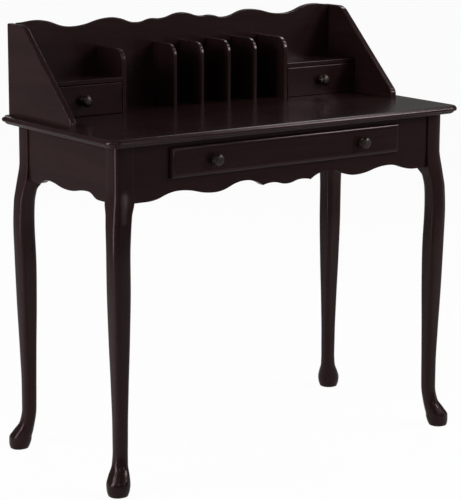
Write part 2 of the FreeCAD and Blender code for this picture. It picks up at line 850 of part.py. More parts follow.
def drawer_box(prefix, x0, x1, y0, y1, z0, z1, wall, bottom, groove_lift, groove_depth):
    """The sides, back and bottom of a drawer, with the groove that holds the bottom as a cutting tool."""
    bottom_low = z0 + groove_lift
    bottom_high = bottom_low + bottom
    room = s.fit_clearance
    groove = board(
        prefix + "_groove", x0 + wall - groove_depth, x1 - wall + groove_depth,
        y0 - groove_depth, y1 + s.cutter_run, bottom_low - room, bottom_high + room,
    )
    sides = []
    for hand, x in (("left", x0), ("right", x1 - wall)):
        blank = board(f"{prefix}_{hand}_blank", x, x + wall, y0, y1, z0, z1)
        sides.append(cut_away(f"{prefix}_{hand}_side", blank, [groove]))
    back = board(prefix + "_back", x0 + wall, x1 - wall, y1 - wall, y1, bottom_high + room, z1)
    sheet_x0 = x0 + wall - groove_depth + room
    sheet_x1 = x1 - wall + groove_depth - room
    sheet_y0 = y0 - groove_depth + room
    floor = board(prefix + "_bottom", sheet_x0, sheet_x1, sheet_y0, y1, bottom_low, bottom_high)
    return sides, back, floor, groove


main_sides, main_back, main_floor, main_groove = drawer_box(
    "main_drawer", -box_x, box_x, inner_front_back, box_back, box_low, box_high,
    s.drawer_board, s.drawer_bottom_thickness, s.drawer_groove_lift, s.drawer_groove_depth,
)
keep("main_drawer_side_left", main_sides[0])
keep("main_drawer_side_right", main_sides[1])
keep("main_drawer_back", main_back)
keep("main_drawer_bottom", main_floor)
inner_front = board("inner_front_blank", -box_x, box_x, box_front, inner_front_back, box_low, box_high)
keep("main_drawer_inner_front", cut_away("inner_front_bored", inner_front, [main_groove] + both_sides(
    "inner_front_bore_left", bores["main_drawer_inner_front"],
)))


# Small drawers: the right one is modelled and mirrored to the left

small_sides, small_rear, small_floor, small_groove = drawer_box(
    "small_drawer", small_x0, small_x1, small_front_back, small_back, small_low, small_high,
    s.small_board, s.small_bottom_thickness, s.small_groove_lift, s.small_groove_depth,
)
keep("right_drawer_side_inner", small_sides[0])
keep("right_drawer_side_outer", small_sides[1])
keep("right_drawer_back", small_rear)
keep("right_drawer_bottom", small_floor)
small_front = board(
    "small_front_blank", partition_out + s.small_front_clearance, hutch_in_x - s.small_front_clearance,
    shelf_front, small_front_back, small_low, shelf_low - s.small_front_clearance,
)
keep("right_drawer_front", cut_away("small_front_bored", small_front, [small_groove] + bores["small_front"]))
for label in [name for name in parts if name.startswith("right_drawer")]:
    twin = label.replace("right", "left")
    keep(twin, mirrored(twin, parts[label], ACROSS))


# Hutch: slanted side panels, a scalloped back, shelves, partitions and letter dividers

side_body = new_body("hutch_side")
side_outline = outline(
    side_body, "hutch_side_outline", "YZ_Plane",
    [
        (hutch_front, s.top_height), (hutch_rear, s.top_height), (hutch_rear, s.top_height + s.hutch_height),
        (hutch_rear - s.panel_top_flat, s.top_height + s.hutch_height),
        (hutch_front, s.top_height + s.panel_front_edge),
    ],
    hutch_in_x,
)
side_slab = pad(side_body, side_outline, s.panel_thickness)


def across_at(y, z):
    """A test for the edges that run across the desk at a place."""
    return lambda edge: near(edge.BoundBox.XLength, s.panel_thickness.value) and (
        near(edge.BoundBox.YMin, y.value) and near(edge.BoundBox.ZMin, z.value)
    )


side_nose = dress_edges(
    side_body, side_slab, "Fillet", across_at(hutch_front, s.top_height + s.panel_front_edge),
    Radius=s.panel_nose_round,
)
dress_edges(
    side_body, side_nose, "Fillet", across_at(hutch_rear - s.panel_top_flat, s.top_height + s.hutch_height),
    Radius=s.panel_shoulder_round,
)
keep("hutch_side_right", bored("hutch_side", side_body))
keep("hutch_side_left", mirrored("hutch_side_left", parts["hutch_side_right"], ACROSS))

back_body = new_body("hutch_back")
crest = s.top_height + s.back_crest
wave = scallops(BACK_SCALLOPS, hutch_in_x, crest)
back_corners = [(ZERO, s.top_height), (hutch_in_x, s.top_height)] + wave
back_half = outline(back_body, "hutch_back_half", "XZ_Plane", back_corners, -hutch_back_rear)
mirror_half(back_body, pad(back_body, back_half, s.back_thickness), "YZ_Plane")
housing_back = hutch_in_y + s.housing_depth
for side, x0, x1 in (("right", partition_out, hutch_in_x), ("left", -hutch_in_x, -partition_out)):
    keep("shelf_" + side, board("shelf_" + side, x0, x1, shelf_front, housing_back, shelf_low, shelf_high))


def housing(name, x0, x1, z0, z1):
    """The groove in the hutch back that takes the rear edge of a board."""
    room = s.fit_clearance
    return board(
        name, x0 - room, x1 + room, hutch_in_y - s.housing_depth, housing_back + room, z0 - room, z1 + room,
    )


uprights = {-3: s.partition_thickness, 3: s.partition_thickness}
uprights.update({step: s.divider_thickness for step in divider_steps})
housings = [
    housing(f"upright_housing_{i}", s.letter_pitch * step - thick / 2, s.letter_pitch * step + thick / 2,
            s.top_height, divider_high)
    for i, (step, thick) in enumerate(uprights.items())
] + [
    housing("shelf_housing_right", partition_out, hutch_in_x, shelf_low, shelf_high),
    housing("shelf_housing_left", -hutch_in_x, -partition_out, shelf_low, shelf_high),
]
keep("hutch_back", cut_away("hutch_back_housed", back_body, housings))


def upright(label, x, thickness, front):
    """An upright board with a rounded upper front corner."""
    body = new_body(label)
    profile = outline(
        body, label + "_profile", "YZ_Plane",
        [
            (front, s.top_height), (housing_back, s.top_height), (housing_back, divider_high),
            (front + s.divider_round, divider_high, s.divider_round, 1),
            (front, divider_high - s.divider_round),
        ],
        x - thickness / 2,
    )
    pad(body, profile, thickness)
    return body


partition = upright("partition_right", partition_x, s.partition_thickness, shelf_front)
keep("partition_right", bored("partition", partition))
keep("partition_left", mirrored("partition_left", parts["partition_right"], ACROSS))
divider_front = shelf_front + s.divider_setback
for number, step in enumerate(divider_steps, start=1):
    label = f"letter_divider_{number}"
    keep(label, upright(label, s.letter_pitch * step, s.divider_thickness, divider_front))
at_both_sides("hutch_dowels", hutch_dowels)


# Every object must have built before anything is written

doc.recompute()
for item in doc.Objects:
    if "Invalid" in item.State or "Error" in item.State:
        raise RuntimeError(f"{item.Label} did not build: {item.State}")
for label, item in parts.items():
    if item.Shape.isNull() or not item.Shape.isValid() or not item.Shape.Solids:
        raise RuntimeError(f"{label} has no valid solid")

os.makedirs("parts", exist_ok=True)
for label, item in parts.items():
    item.Shape.exportStep(f"parts/{label}.step")
print(f"{len(parts)} sub-parts, {sum(len(item.Shape.Solids) for item in parts.values())} solids")
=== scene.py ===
import math
import random

import bmesh
import bpy
from mathutils import Matrix, Vector


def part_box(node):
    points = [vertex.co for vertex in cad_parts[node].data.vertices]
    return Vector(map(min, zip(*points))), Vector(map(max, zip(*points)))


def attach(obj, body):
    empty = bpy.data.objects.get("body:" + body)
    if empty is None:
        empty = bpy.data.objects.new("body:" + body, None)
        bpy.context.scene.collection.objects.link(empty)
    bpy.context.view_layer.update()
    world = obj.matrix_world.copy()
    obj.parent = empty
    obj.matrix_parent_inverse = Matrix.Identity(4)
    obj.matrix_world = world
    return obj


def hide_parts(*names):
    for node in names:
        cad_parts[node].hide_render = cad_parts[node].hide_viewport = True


# A writing desk with a letter hutch, in dark lacquered wood.
# Shapes are worked in millimetres in the frame's axes, X to the right, Y to the back and Z up,
# and become metres when a mesh is made.

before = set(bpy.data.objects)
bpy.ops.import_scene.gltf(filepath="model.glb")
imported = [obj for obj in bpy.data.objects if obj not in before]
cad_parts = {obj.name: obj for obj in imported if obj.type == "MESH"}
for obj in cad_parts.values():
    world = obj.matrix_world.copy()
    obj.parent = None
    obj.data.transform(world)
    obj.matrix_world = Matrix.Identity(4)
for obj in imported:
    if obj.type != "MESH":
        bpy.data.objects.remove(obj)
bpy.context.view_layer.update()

MM = 0.001
X, Y, Z = 0, 1, 2
ARRIS = math.radians(35)
SIDES = {-1: "left", 1: "right"}
DEPTHS = {-1: "front", 1: "back"}
CORNERS = [(side, depth) for side in SIDES for depth in DEPTHS]

# Sizes that several pieces share: the desktop's two faces, the outer faces and the width of the posts,
# the outer faces, the thickness and the foot of the aprons, and the two faces of the hutch ends

TOP, UNDERSIDE = 762, 744
POST_X, POST_Y, POST = 443.5, 201, 42
APRON_X, APRON_Y, APRON, APRON_FOOT = 439.5, 197, 16, 621.5
HUTCH_INNER, HUTCH_OUTER = 434, 449

# Where the aprons end at the posts, and the inner faces of the aprons

RAIL_END, SIDE_END = POST_X - POST, POST_Y - POST
INNER_X, INNER_Y = APRON_X - APRON, APRON_Y - APRON


# Node trees

class Wire:
    """A node socket that takes part in sums. Each operator adds a Math node."""

    def __init__(self, bench, socket):
        self.bench = bench
        self.socket = socket

    def maths(self, operation, *terms):
        return self.bench.add("ShaderNodeMath", {"operation": operation}, dict(enumerate(terms)))

    def __add__(self, other):
        return self.maths("ADD", self, other)

    def __radd__(self, other):
        return self.maths("ADD", other, self)

    def __sub__(self, other):
        return self.maths("SUBTRACT", self, other)

    def __rsub__(self, other):
        return self.maths("SUBTRACT", other, self)

    def __mul__(self, other):
        return self.maths("MULTIPLY", self, other)

    def __truediv__(self, other):
        return self.maths("DIVIDE", self, other)

    def __neg__(self):
        return self.maths("MULTIPLY", self, -1.0)

    def __gt__(self, other):
        return self.maths("GREATER_THAN", self, other)

    def sin(self):
        return self.maths("SINE", self)

    def cos(self):
        return self.maths("COSINE", self)

    def bounce(self, height):
        return self.maths("PINGPONG", self, height)

    def least(self, other):
        return self.maths("MINIMUM", self, other)

    def most(self, other):
        return self.maths("MAXIMUM", self, other)

    def whole(self):
        return self.maths("ROUND", self)

    def part(self):
        return self.maths("FRACT", self)

    def over(self, low, high):
        """0 below low, 1 above high and a smooth rise between."""
        return self.bench.add(
            "ShaderNodeMapRange", {"interpolation_type": "SMOOTHSTEP"},
            {"Value": self, "From Min": low, "From Max": high},
        )


class Bench:
    """A node tree being made."""

    def __init__(self, tree):
        self.tree = tree

    def add(self, kind, settings=None, sockets=None, out=0):
        """A node with its settings and inputs. The setting rows is how many values a switch chooses from."""
        node = self.tree.nodes.new(kind)
        for name, value in (settings or {}).items():
            if name == "rows":
                while len(node.index_switch_items) < value:
                    node.index_switch_items.new()
            else:
                setattr(node, name, value)
        for key, value in (sockets or {}).items():
            for one in value if isinstance(value, list) else [value]:
                if isinstance(one, Wire):
                    self.tree.links.new(one.socket, node.inputs[key])
                else:
                    node.inputs[key].default_value = one
        return Wire(self, node.outputs[out]) if node.outputs else node

    def mix(self, share, first, second):
        """A colour between two others."""
        return self.add(
            "ShaderNodeMix", {"data_type": "RGBA"},
            {"Factor": share, 6: colour(first), 7: colour(second)}, 2,
        )


def colour(value):
    return value if isinstance(value, Wire) else (*value, 1.0)


class Finish(Bench):
    """A material being made, with helpers for patterns that lie in the object's own coordinates."""

    def __init__(self, name):
        self.material = bpy.data.materials.new(name)
        self.material.use_nodes = True
        super().__init__(self.material.node_tree)
        self.tree.nodes.clear()
        self.place = self.add("ShaderNodeTexCoord", out="Object")

    def mark(self, name):
        """A value that the mesh carries."""
        return self.add("ShaderNodeAttribute", {"attribute_name": name}, out="Fac")

    def stretched(self, scale, shift=None):
        """The object's coordinates, stretched, and shifted so that no two boards share their grain."""
        place = self.place
        if shift is not None:
            moved = {0: shift * 1.7, 1: shift * 2.3, 2: shift * 3.1}
            moved = self.add("ShaderNodeCombineXYZ", None, moved)
            place = self.add("ShaderNodeVectorMath", {"operation": "ADD"}, {0: place, 1: moved})
        return self.add("ShaderNodeMapping", None, {"Vector": place, "Scale": scale})

    def noise(self, place, detail=3.0, roughness=0.5, distortion=0.0):
        return self.add(
            "ShaderNodeTexNoise", None,
            {
                "Vector": place, "Scale": 1.0, "Detail": detail, "Roughness": roughness,
                "Distortion": distortion,
            },
            "Fac",
        )

    def bump(self, height, strength, distance):
        relief = {"Height": height, "Strength": strength, "Distance": distance}
        return self.add("ShaderNodeBump", None, relief)

    def surface(self, **sockets):
        named = {name.replace("_", " "): value for name, value in sockets.items()}
        shader = self.add("ShaderNodeBsdfPrincipled", None, named)
        self.add("ShaderNodeOutputMaterial", None, {"Surface": shader})
        return self.material


def along(axis, lengthwise, crosswise):
    """Stretching for a grain that runs along one axis."""
    scale = [crosswise] * 3
    scale[axis] = lengthwise
    return tuple(scale)


# Finishes

def dark_lacquer(name, axis):
    """Dark reddish brown stain under satin lacquer, with the grain along one axis."""
    f = Finish(name)
    board, rim = f.mark("board"), f.mark("rim")
    figure = f.noise(f.stretched(along(axis, 1.6, 16), board), detail=4, distortion=0.6)
    fibre = f.noise(f.stretched(along(axis, 9, 210), board), detail=4, roughness=0.6)
    pores = f.noise(f.stretched(along(axis, 55, 1300), board), detail=2).over(0.6, 0.74)
    hands = f.noise(f.stretched((7, 7, 7), board), detail=3)
    peel = f.noise(f.stretched((420, 420, 420)), detail=1)
    stain = f.mix(
        (figure * 0.65 + fibre * 0.5).over(0.3, 0.85), (0.0092, 0.0040, 0.0041), (0.0166, 0.0073, 0.0074),
    )
    stain = f.mix(pores * 0.55, stain, (0.0055, 0.0028, 0.0028))
    # The rounded arrises turn lighter and greyer in patches: partly rubbed wear, partly a painted highlight
    # along the edges
    rubbed_and_painted_highlight = rim * f.noise(f.stretched((38, 38, 38), board), detail=3).over(0.35, 0.7)
    stain = f.mix(rubbed_and_painted_highlight * 0.45, stain, (0.036, 0.0200, 0.0190))
    relief = fibre * 0.25 - pores * 0.5 + peel * 0.3
    return f.surface(
        Base_Color=stain,
        Roughness=0.12 + hands * 0.09 + fibre * 0.05 + pores * 0.1,
        IOR=1.5,
        Specular_IOR_Level=0.16,
        Specular_Tint=(1.0, 0.74, 0.76, 1.0),
        Normal=f.bump(relief, 0.08, 0.0004),
    )


def bare_wood(name, axis):
    """Pale unfinished wood of the drawer boxes and the blocks and runners inside the frame."""
    f = Finish(name)
    board, rim = f.mark("board"), f.mark("rim")
    wander = f.noise(f.stretched(along(axis, 1.2, 9), board), detail=3)
    growth = f.noise(f.stretched(along(axis, 1.4, 22), board), detail=2, distortion=0.4)
    rings = ((growth * 9).bounce(0.5) * 2).over(0.1, 1.0)
    fibre = f.noise(f.stretched(along(axis, 14, 420), board), detail=4, roughness=0.65)
    flecks = f.noise(f.stretched(along(axis, 70, 1500), board), detail=1).over(0.62, 0.75)
    wood = f.mix(rings * 0.7 + fibre * 0.3, (0.53, 0.365, 0.215), (0.40, 0.250, 0.128))
    wood = f.mix(wander.over(0.35, 0.75) * 0.5, wood, (0.60, 0.43, 0.27))
    wood = f.mix(flecks * 0.4, wood, (0.25, 0.145, 0.07))
    wood = f.mix(rim * 0.3, wood, (0.62, 0.46, 0.30))
    return f.surface(
        Base_Color=wood,
        Roughness=0.58 + fibre * 0.14 - rings * 0.06,
        IOR=1.45,
        Normal=f.bump(fibre * 0.6 - flecks * 0.4 + rings * 0.2, 0.16, 0.0004),
    )


def bronzed_metal(name):
    """Dark bronzed knobs, turned, with the bronze rubbed brighter on the crown's rim."""
    f = Finish(name)
    reach = f.mark("reach")
    turning = (reach * 9000).sin() * 0.5 + 0.5
    patches = f.noise(f.stretched((160, 160, 160)), detail=4, roughness=0.6)
    wear = (reach.over(0.0112, 0.013) * (0.35 + patches)).over(0.45, 1.0)
    metal = f.mix(patches.over(0.3, 0.75), (0.024, 0.020, 0.018), (0.054, 0.044, 0.038))
    metal = f.mix(wear * 0.5, metal, (0.150, 0.115, 0.085))
    return f.surface(
        Base_Color=metal,
        Metallic=1.0,
        Roughness=0.29 + patches * 0.16 + turning * 0.03,
        Normal=f.bump(turning * 0.5 + patches * 0.4, 0.1, 0.0002),
    )


def zinc_plate(name):
    """Bright zinc plating on the screws, bolts and nuts."""
    f = Finish(name)
    cloud = f.noise(f.stretched((210, 210, 210)), detail=4, roughness=0.6)
    bloom = f.noise(f.stretched((900, 900, 900)), detail=2)
    plate = f.mix(cloud.over(0.3, 0.75), (0.50, 0.52, 0.55), (0.68, 0.68, 0.66))
    plate = f.mix((bloom * cloud).over(0.3, 0.5) * 0.4, plate, (0.42, 0.40, 0.35))
    return f.surface(
        Base_Color=plate,
        Metallic=1.0,
        Roughness=0.26 + cloud * 0.2,
        Normal=f.bump(bloom * 0.6 + cloud * 0.4, 0.12, 0.0002),
    )


def pressed_felt(name):
    """Dark brown felt under the feet."""
    f = Finish(name)
    matted = f.noise(f.stretched((700, 700, 900)), detail=5, roughness=0.7, distortion=1.2)
    tufts = f.noise(f.stretched((2600, 2600, 3200)), detail=2)
    shade = (matted * 0.7 + tufts * 0.3).over(0.3, 0.75)
    felt = f.mix(shade, (0.030, 0.022, 0.018), (0.085, 0.066, 0.054))
    return f.surface(
        Base_Color=felt,
        Roughness=0.86 + tufts * 0.12,
        Sheen_Weight=0.35,
        Sheen_Roughness=0.6,
        Normal=f.bump(matted + tufts * 0.6, 0.5, 0.0006),
    )


lacquer = {axis: dark_lacquer("dark_lacquer_" + "xyz"[axis], axis) for axis in (X, Y, Z)}
plain = {axis: bare_wood("bare_wood_" + "xyz"[axis], axis) for axis in (X, Y, Z)}
bronze = bronzed_metal("bronzed_metal")
zinc = zinc_plate("zinc_plate")
felt = pressed_felt("pressed_felt")


# Making pieces

dice = random.Random(11)


def place_object(name, mesh):
    piece = bpy.data.objects.new(name, mesh)
    bpy.context.scene.collection.objects.link(piece)
    return piece


def as_made(piece):
    """Gives an object the plain mesh that its modifiers make, and takes them off."""
    graph = bpy.context.evaluated_depsgraph_get()
    made = bpy.data.meshes.new_from_object(
        piece.evaluated_get(graph), preserve_all_data_layers=True, depsgraph=graph,
    )
    piece.modifiers.clear()
    piece.data = made
    made.name = piece.name
    return piece


def fit(piece, body, nodes):
    """Puts a finished piece on its body, in the place of the frame's nodes."""
    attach(piece, body)
    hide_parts(*nodes)


def shaped(name, bm, finish, sharp=ARRIS):
    """An object from a shape in millimetres. Broad faces stay flat up to their rounded arrises."""
    bmesh.ops.scale(bm, vec=(MM, MM, MM), verts=bm.verts)
    mesh = bpy.data.meshes.new(name)
    bm.to_mesh(mesh)
    bm.free()
    mesh.materials.append(finish)
    mesh.shade_smooth()
    mesh.set_sharp_from_angle(angle=sharp)
    tone = mesh.attributes.new("board", "FLOAT", "POINT")
    tone.data.foreach_set("value", [dice.random() * 5] * len(mesh.vertices))
    piece = place_object(name, mesh)
    even = piece.modifiers.new("even", "WEIGHTED_NORMAL")
    even.keep_sharp = True
    even.weight = 80
    return as_made(piece)


def slab(outline, axis, near, far):
    """A board whose outline lies across an axis, from one level on that axis to another."""
    bm = bmesh.new()
    rings = []
    for level in (near, far):
        ring = []
        for corner in outline:
            spot = list(corner)
            spot.insert(axis, level)
            ring.append(bm.verts.new(spot))
        rings.append(ring)
    skin(bm, rings)
    return bm


def skin(bm, rings):
    """Faces between closed rings of points, and a face over the first and last ring."""
    for first, second in zip(rings, rings[1:]):
        for i in range(len(first)):
            bm.faces.new((first[i - 1], first[i], second[i], second[i - 1]))
    bm.faces.new(rings[0])
    bm.faces.new(rings[-1])
    bmesh.ops.recalc_face_normals(bm, faces=bm.faces)


def ease(bm, radius, steps=3, where=None):
    """Rounds all arrises, or those that a test picks by their middle, and marks the rounded faces."""
    rim = bm.faces.layers.float.get("rim") or bm.faces.layers.float.new("rim")
    arrises = [
        edge for edge in bm.edges
        if len(edge.link_faces) == 2 and edge.calc_face_angle() > ARRIS
        and (where is None or where((edge.verts[0].co + edge.verts[1].co) / 2))
    ]
    made = bmesh.ops.bevel(
        bm, geom=arrises, offset=radius, offset_type="OFFSET", segments=steps, profile=0.5,
        affect="EDGES", clamp_overlap=True,
    )
    for face in made["faces"]:
        face[rim] = 1.0


def cuboid(low, high):
    """A plain board between two corners."""
    (x0, y0, z0), (x1, y1, z1) = low, high
    return slab([(x0, y0), (x1, y0), (x1, y1), (x0, y1)], Z, z0, z1)


def node_box(node):
    low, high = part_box(node)
    return [c / MM for c in low], [c / MM for c in high]


def rounded(corners, steps=10):
    """An outline in which each corner that is given a radius is rounded by it."""
    outline = []
    for i, (u, v, *radius) in enumerate(corners):
        if not radius:
            outline.append((u, v))
            continue
        here = Vector((u, v))
        back = (Vector(corners[i - 1][:2]) - here).normalized()
        ahead = (Vector(corners[(i + 1) % len(corners)][:2]) - here).normalized()
        half = back.angle(ahead) / 2
        centre = here + (back + ahead).normalized() * radius[0] / math.sin(half)
        start = here + back * radius[0] / math.tan(half) - centre
        end = here + ahead * radius[0] / math.tan(half) - centre
        sweep = start.angle_signed(end)
        for k in range(steps + 1):
            outline.append(tuple(centre + Matrix.Rotation(-sweep * k / steps, 2) @ start))
    return outline


def flipped(bm, x=1, y=1):
    """Takes a shape to another side of the desk."""
    bmesh.ops.scale(bm, vec=(x, y, 1), verts=bm.verts)
    bmesh.ops.recalc_face_normals(bm, faces=bm.faces)


def quarter(steps):
    """Angles through a quarter turn."""
    return [math.pi / 2 * k / steps for k in range(steps + 1)]


# Scallops: place as a share of the half pattern, height, and whether the edge comes to a point there

FRONT_SCALLOPS = [
    (0, 2.3, False), (0.11, 8.8, False), (0.179, 5.3, True), (0.308, 20.4, False), (0.527, 2.8, False),
    (0.78, 15.7, False), (1, 0, False),
]
SIDE_SCALLOPS = [(0, 3.4, False), (0.66, 12.4, False), (1, 0, False)]
CREST_SCALLOPS = [
    (0, -2.1, False), (0.138, -12.7, False), (0.18, -11.6, False), (0.272, -18.4, False),
    (0.438, -3.9, False), (0.672, -18.8, False), (0.887, 0, False), (1, -3.5, False),
]


def scalloped_half(rows, half, base, steps=9):
    """The wavy edge from the middle outwards, in equal arcs that meet between one turn and the next."""
    spots = []

    def arc(x0, z0, x1, z1, level_first):
        run, climb = x1 - x0, z1 - z0
        radius = (run * run + climb * climb) / (2 * abs(climb))
        way = math.copysign(1, climb)
        for k in range(steps):
            gone = run * k / steps
            if level_first:
                spots.append((x0 + gone, z0 + way * (radius - math.sqrt(radius ** 2 - gone ** 2))))
            else:
                left = run - gone
                spots.append((x0 + gone, z1 - way * (radius - math.sqrt(radius ** 2 - left ** 2))))

    turns = [(share * half, base + rise, point) for share, rise, point in rows]
    for (x0, z0, point0), (x1, z1, point1) in zip(turns, turns[1:]):
        if point1:
            arc(x0, z0, x1, z1, True)
        elif point0:
            arc(x0, z0, x1, z1, False)
        else:
            arc(x0, z0, (x0 + x1) / 2, (z0 + z1) / 2, True)
            arc((x0 + x1) / 2, (z0 + z1) / 2, x1, z1, False)
    return spots + [turns[-1][:2]]


def both_halves(half):
    """A whole edge from its right half."""
    return [(-u, v) for u, v in half[:0:-1]] + half


# Desktop: rings that follow its rounded outline, from the field over the nose and the cove to the underside

def desktop():
    half_x, half_y, corner = 476, 231.5, 28
    field, upper, lower, lower_level = 26, 8, 4, 753.8
    cove_inset, cove_level, cove_width, cove_height = 10.6, 748.6, 3.8, 3.4
    nose = [(field, TOP)]
    nose += [(upper - upper * math.sin(a), TOP - upper + upper * math.cos(a)) for a in quarter(9)]
    nose += [(lower - lower * math.cos(a), lower_level - lower * math.sin(a)) for a in quarter(6)]
    nose += [(6.4, 749.75), (6.8, 749.3)]
    nose += [
        (cove_inset - cove_width * math.cos(a), cove_level - cove_height * math.sin(a)) for a in quarter(6)
    ]
    nose += [(10.8, 744.7), (11.3, UNDERSIDE)]
    bm = bmesh.new()
    rings = []
    for inset, level in nose:
        ring = []
        for i, (sx, sy) in enumerate(((1, 1), (-1, 1), (-1, -1), (1, -1))):
            for k in range(13):
                a = math.radians(90 * i + 90 * k / 12)
                reach = corner - inset
                x = sx * (half_x - corner) + reach * math.cos(a)
                y = sy * (half_y - corner) + reach * math.sin(a)
                ring.append(bm.verts.new((x, y, level)))
        rings.append(ring)
    skin(bm, rings)
    return shaped("moulded_desktop", bm, lacquer[X], math.radians(50))


fit(desktop(), "desk", ["desk_top"])


# Cabriole legs: height, how far the section stands out past the post's faces, its width,
# and the radii of its outer, side and inner corners

LEG_SECTIONS = [
    (744, 0, 42, 10, 1.6, 1.6), (700, 0, 42, 10, 1.6, 1.6), (660, 0, 42, 10, 1.6, 1.6),
    (647, 0.9, 42.9, 10.3, 1.8, 1.8), (632, 3.0, 45, 11, 2.6, 2.2), (620, 4.8, 46.6, 11.6, 3.6, 3),
    (610, 6.2, 45.0, 12, 4.6, 9), (598, 7.9, 43.3, 12.4, 5.8, 18), (572, 11, 43, 13, 7.5, 19),
    (515, 12.7, 42, 13.2, 9.5, 13.2), (459, 11.7, 42, 12.8, 9.6, 11.8), (342.5, 8.7, 38.4, 11.2, 9.6, 9.3),
    (226, 4.8, 32.6, 10.2, 9.6, 9.3), (150, 3.1, 30.3, 10.6, 10.6, 10.4), (95, 3.4, 30.2, 11.4, 11.7, 11.4),
    (64, 8.3, 33, 14.2, 13.8, 14.2), (42, 20.8, 43.8, 19.6, 18.6, 19.6), (26, 28.4, 49.4, 22, 21.5, 22),
    (13, 28.2, 46.8, 21, 20.4, 21), (5, 26.6, 42.2, 19, 18.4, 19), (2, 25.4, 39.4, 17.6, 17, 17.6),
]

# How far an outer face of a leg swells, as a share of its width

CROWN = 0.022


def corner_name(side, depth):
    return f"{DEPTHS[depth]}_{SIDES[side]}"


def between(rows, level):
    """A row at any height, on a smooth curve that doesn't swing past the rows that are given."""
    heights = [row[0] for row in rows]
    i = max(k for k in range(len(rows) - 1) if heights[k] >= level)
    found = []
    for column in range(1, len(rows[0])):
        values = [row[column] for row in rows]
        slopes = [(values[k + 1] - values[k]) / (heights[k + 1] - heights[k]) for k in range(len(rows) - 1)]

        def lean(k):
            if k == 0 or k == len(rows) - 1:
                return slopes[min(k, len(slopes) - 1)]
            first, second = slopes[k - 1], slopes[k]
            return 2 * first * second / (first + second) if first * second > 0 else 0

        run = heights[i + 1] - heights[i]
        t = (level - heights[i]) / run
        found.append(
            values[i] * (1 + 2 * t) * (1 - t) ** 2 + run * lean(i) * t * (1 - t) ** 2
            + values[i + 1] * t * t * (3 - 2 * t) + run * lean(i + 1) * t * t * (t - 1)
        )
    return found


def leg(side, depth):
    levels = [744, 742] + [740 - 8 * k for k in range(10)]
    levels += [656 - 4 * k for k in range(22)] + [566 - 9 * k for k in range(51)]
    levels += [104 - 4 * k for k in range(25)] + [5, 3.2, 2]
    bm = bmesh.new()
    rings = []
    for level in levels:
        reach, width, outer, flank, inner = between(LEG_SECTIONS, level)
        x1, y1 = POST_X + reach, POST_Y + reach
        x0, y0 = x1 - width, y1 - width
        flat = width - outer - flank
        ring = []
        for x, y, radius, start in (
            (x1 - flank, y0 + flank, flank, -90), (x1 - outer, y1 - outer, outer, 0),
            (x0 + flank, y1 - flank, flank, 90), (x0 + inner, y0 + inner, inner, 180),
        ):
            for k in range(8):
                a = math.radians(start + 90 * k / 7)
                ring.append((x + radius * math.cos(a), y + radius * math.sin(a)))
            for share in (0.25, 0.5, 0.75):
                proud = CROWN * flat * 4 * share * (1 - share)
                if start == -90:
                    ring.append((x1 + proud, y + flat * share))
                elif start == 0:
                    ring.append((x - flat * share, y1 + proud))
        rings.append([bm.verts.new((*spot, level)) for spot in ring])
    skin(bm, rings)
    flipped(bm, side, depth)
    name = corner_name(side, depth)
    piece = shaped("cabriole_leg_" + name, bm, lacquer[Z], math.radians(60))
    fit(piece, "desk", ["leg_" + name])


for side, depth in CORNERS:
    leg(side, depth)


# Aprons

def front_apron():
    """The front board, with the drawer opening in it."""
    low, high, edge = 673.5, 723.5, 302.5
    wave = both_halves(scalloped_half(FRONT_SCALLOPS, 366.5, APRON_FOOT) + [(RAIL_END, APRON_FOOT)])
    bm = bmesh.new()

    def at(u, v):
        return bm.verts.new((u, -APRON_Y, v))

    foot = [at(u, v) for u, v in wave]
    split_left = min(range(len(wave)), key=lambda i: abs(wave[i][0] + edge))
    split_right = min(range(len(wave)), key=lambda i: abs(wave[i][0] - edge))
    corner = {(side, z): at(side * edge, z) for side in SIDES for z in (low, high, UNDERSIDE)}
    end = {side: at(side * RAIL_END, UNDERSIDE) for side in SIDES}
    left, right = ([corner[side, z] for z in (low, high, UNDERSIDE)] for side in SIDES)
    bm.faces.new(foot[:split_left + 1] + left + [end[-1]])
    bm.faces.new(foot[split_left:split_right + 1] + [right[0], left[0]])
    bm.faces.new(foot[split_right:] + [end[1]] + right[::-1])
    bm.faces.new([left[1], right[1], right[2], left[2]])
    thick = bmesh.ops.extrude_face_region(bm, geom=list(bm.faces))
    moved = [g for g in thick["geom"] if isinstance(g, bmesh.types.BMVert)]
    bmesh.ops.translate(bm, vec=(0, APRON, 0), verts=moved)
    bmesh.ops.recalc_face_normals(bm, faces=bm.faces)
    piece = shaped("scalloped_apron_front", bm, lacquer[X])
    fit(piece, "desk", ["apron_front"])


def side_apron(side):
    wave = both_halves(scalloped_half(SIDE_SCALLOPS, 124, APRON_FOOT) + [(SIDE_END, APRON_FOOT)])
    outline = wave + [(SIDE_END, UNDERSIDE), (-SIDE_END, UNDERSIDE)]
    bm = slab(outline, X, side * INNER_X, side * APRON_X)
    ease(bm, 1.6, 3, lambda p: abs(p.y) < SIDE_END - 1 and p.z < UNDERSIDE - 1)
    name = SIDES[side]
    fit(shaped("scalloped_apron_" + name, bm, lacquer[Y]), "desk", ["apron_" + name])


front_apron()
for side in SIDES:
    side_apron(side)
back_apron = cuboid(*node_box("apron_back"))
ease(back_apron, 1.6, 3, lambda p: abs(p.x) < RAIL_END - 0.5 and p.z < UNDERSIDE - 1)
fit(shaped("plain_apron_back", back_apron, lacquer[X]), "desk", ["apron_back"])


# Blocks across the corners and the runners that carry the wide drawer

BLOCK = [(INNER_X, 94.57), (INNER_X, 125.69), (368.19, INNER_Y), (337.07, INNER_Y)]
BLOCK_FOOT = 704
RUNNER = [(288.5, 661.5), (313.3, 661.5), (313.3, 693.5), (299.3, 693.5), (299.3, 673.5), (288.5, 673.5)]

